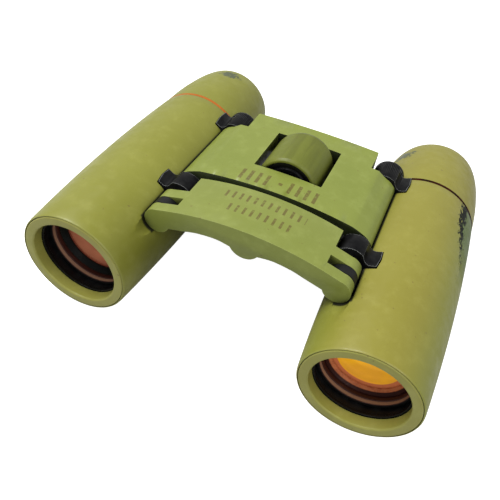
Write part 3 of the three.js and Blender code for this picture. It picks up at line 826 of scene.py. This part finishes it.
def hub():
    r, y0 = WHEEL_R, WHEEL_Y0
    return turned("focus_wheel_hub", [
        (1.6, y0 + 0.5), (3.6, y0 + 0.5, 0.1), (3.8, y0 + 0.9, 0.1), (5.0, y0 + 0.9, 0.1), (5.2, y0 + 0.5, 0.1),
        (6.0, y0 + 0.5, 0.1), (6.2, y0 + 0.9, 0.1), (r - 2.4, y0 + 0.9, 0.1), (r - 2.2, y0 + 0.4, 0.1),
        (r - 1.6, y0 + 0.4, 0.1), (r - 1.6, y0 + 1.8), (2.4, y0 + 1.8), (2.4, y0 + 9), (1.6, y0 + 9)],
        128, cx=0, cz=FOCUS_Z)


piece(bridge(), "main_bridge", bridge_green, "main_bridge")
piece(arm(), "front_arm", arm_green, "front_arm")
piece(wheel(), "focus_wheel", wheel_green, "focus_wheel")
piece(hub(), "focus_wheel", black, "wheel_hub")


# ------------------------------------------------------------------ both sides
def lens_coat(name, face, rim, painted_glow, edge, soft):
    """Coated objective: a coloured skin that also gives off painted light, standing in for the light its
    coating sends back, with a deeper ring towards the rim.
    """
    m = Mat(name)
    _, r, _ = around(m)
    c = m.mix(m.ramp(m.noise(110, 2), 0.4, 0.7, 0, 0.25), face, rim)
    c = m.mix(m.ramp(r, (edge - soft) * MM, (edge + soft) * MM), c, rim)
    m.set(Base_Color=c, Emission_Color=c, Roughness=m.ramp(m.noise(700, 4), 0.4, 0.8, 0.06, 0.12),
          Emission_Strength=painted_glow, Metallic=0.3, Coat_Weight=0.4, Coat_Roughness=0.03)
    m.bump(m.noise(40, 1), 0.02, 0.02)
    return m.m


# The two sides' coat colours differ as painted reflection; the coating is the same on both.
amber = {"right": lens_coat("amber_glass_right", lin(234, 168, 36), lin(170, 98, 62), 0.5, 8.75, 0.1),
         "left": lens_coat("amber_glass_left", lin(166, 102, 74), lin(112, 52, 38), 0.35, 9.4, 1.4)}

# label, maker, body, slot, look or look per side, and the CAD node that the piece stands for
PAIRED = [
    ("barrel_skin", shell, "barrel", "olive_paint", olive, "shell"),
    ("barrel_chassis", chassis, "barrel", "black_plastic", lug_black, "chassis"),
    ("mouth_lip", mouth_lip, "barrel", "olive_paint", lip, "front_bezel"),
    ("mouth_stop", mouth_stop, "barrel", "black_anodised", anodised, "stop_ring"),
    ("seam_band", seam_band, "barrel", "rust_ring", seam, "seam_ring"),
    ("cell_body", cell, "carrier", "black_anodised", lens_cell, "objective_cell"),
    ("lens_retainer", retainer, "carrier", "copper", {"right": copper, "left": anodised}, "lens_ring"),
    ("front_lens", crown, "carrier", "amber_glass", amber, "crown_lens"),
    ("eye_tube", eye_tube, "eyepiece", "black_plastic", black, "eyepiece_tube"),
    ("eye_cup_ring", eye_cup, "eyepiece", "rubber", rubber, "eyecup"),
    ("eye_glass", eye_lens, "eyepiece", "clear_glass", clear, "eye_lens"),
    ("end_dome", dome, "dome", "olive_paint", dome_olive, "dome"),
]
# what differs between the sides: on the left the eyepiece and the dome are fixed to the barrel
BODY = {("right", "eyepiece"): "right_eyepiece", ("left", "eyepiece"): "left_barrel",
        ("right", "dome"): "diopter_ring", ("left", "dome"): "left_barrel"}
NODE = {("right", "dome"): "right_diopter_ring", ("left", "dome"): "left_rear_cap"}

for label, make, where, finish, look, cad in PAIRED:
    right = make("right_" + label)
    left = mirror_copy(right, "left_" + label)
    for ob, side in ((right, "right"), (left, "left")):
        piece(ob, BODY.get((side, where), f"{side}_{where}"),
              look[side] if isinstance(look, dict) else look, NODE.get((side, cad), f"{side}_{cad}"))

# ------------------------------------------------------------------ CAD pieces kept as they are
KEPT = {
    "bridge_cover": black, "axle_plug": black, "focus_screw": steel, "thrust_washer": steel,
    "focus_nut": brass, "prism_front": clear, "prism_roof": clear, "prism_cradle": black,
    "baffle": anodised, "field_stop": anodised, "flint_lens": clear, "spacer_ring": anodised,
    "field_lens": clear, "field_ring": anodised, "hinge_pin": steel, "hinge_washer": rubber,
    "cover_screw": steel,
}
KEPT_EDGE = 0.06
for name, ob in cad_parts.items():
    if ob.hide_render:
        continue
    give(ob, next(look for part, look in KEPT.items() if part in name))
    bevel(ob, KEPT_EDGE, 2)

# ------------------------------------------------------------------ camera, light, floor
def add_light(name, loc, target, size, power):
    data = bpy.data.lights.new(name, "AREA")
    data.shape, data.size, data.energy = "DISK", size, power
    ob = bpy.data.objects.new(name, data)
    ob.location = loc
    ob.rotation_mode = "QUATERNION"
    ob.rotation_quaternion = (Vector(target) - Vector(loc)).to_track_quat("-Z", "Y")
    bpy.context.scene.collection.objects.link(ob)


def camera(loc, azimuth, elevation, roll, lens):
    """Camera at a place in millimetres, looking back from an azimuth and elevation in degrees."""
    a, e, w = (math.radians(v) for v in (azimuth, elevation, roll))
    back = Vector((math.sin(a) * math.cos(e), -math.cos(a) * math.cos(e), math.sin(e)))
    across = Vector((0, 0, 1)).cross(back).normalized()
    up = back.cross(across)
    x = across * math.cos(w) + up * math.sin(w)
    y = up * math.cos(w) - across * math.sin(w)
    data = bpy.data.cameras.new("view")
    data.lens, data.sensor_width = lens, 36
    data.clip_start, data.clip_end = 0.005, 20
    ob = bpy.data.objects.new("view", data)
    m = Matrix((x, y, back)).transposed().to_4x4()
    m.translation = Vector(loc) * MM
    ob.matrix_world = m
    bpy.context.scene.collection.objects.link(ob)
    bpy.context.scene.camera = ob


def grey(v):
    return v, v, v, 1


def floor_finish():
    """Pale paper that looks almost white to the camera but throws little light back."""
    m = Mat("pale_floor")
    seen = m.node("ShaderNodeLightPath").outputs["Is Camera Ray"]
    m.set(Base_Color=m.mix(m.ramp(m.noise(3, 2), 0.3, 0.7), grey(0.34), grey(0.38)), Roughness=0.9,
          Emission_Color=grey(1), Emission_Strength=m.times(seen, FLOOR_GLOW))
    return m.m


CAMERA_AT = (29.60, -131.30, 131.18)
AZIMUTH, ELEVATION, ROLL, FOCAL_LENGTH = 15.81, 44.54, 11.70, 39.47
FLOOR_HALF, FLOOR_GLOW, SKY = 4.0, 0.95, 0.75
AIM = (0, 0, 0.02)

camera(CAMERA_AT, AZIMUTH, ELEVATION, ROLL, FOCAL_LENGTH)
add_light("key", (-0.38, -0.10, 0.62), AIM, 0.45, 9.0)
add_light("fill", (0.45, -0.35, 0.55), AIM, 0.5, 3.2)

floor_mesh = bpy.data.meshes.new("floor")
corners = [(x * FLOOR_HALF, y * FLOOR_HALF, 0) for x, y in ((-1, -1), (1, -1), (1, 1), (-1, 1))]
floor_mesh.from_pydata(corners, [], [(0, 1, 2, 3)])
floor = bpy.data.objects.new("floor", floor_mesh)
bpy.context.scene.collection.objects.link(floor)
give(floor, floor_finish())

world = bpy.data.worlds.new("studio")
world.use_nodes = True
sky = world.node_tree.nodes["Background"]
sky.inputs["Color"].default_value = grey(1)
sky.inputs["Strength"].default_value = SKY
bpy.context.scene.world = world
bpy.context.scene.view_settings.view_transform = "Standard"
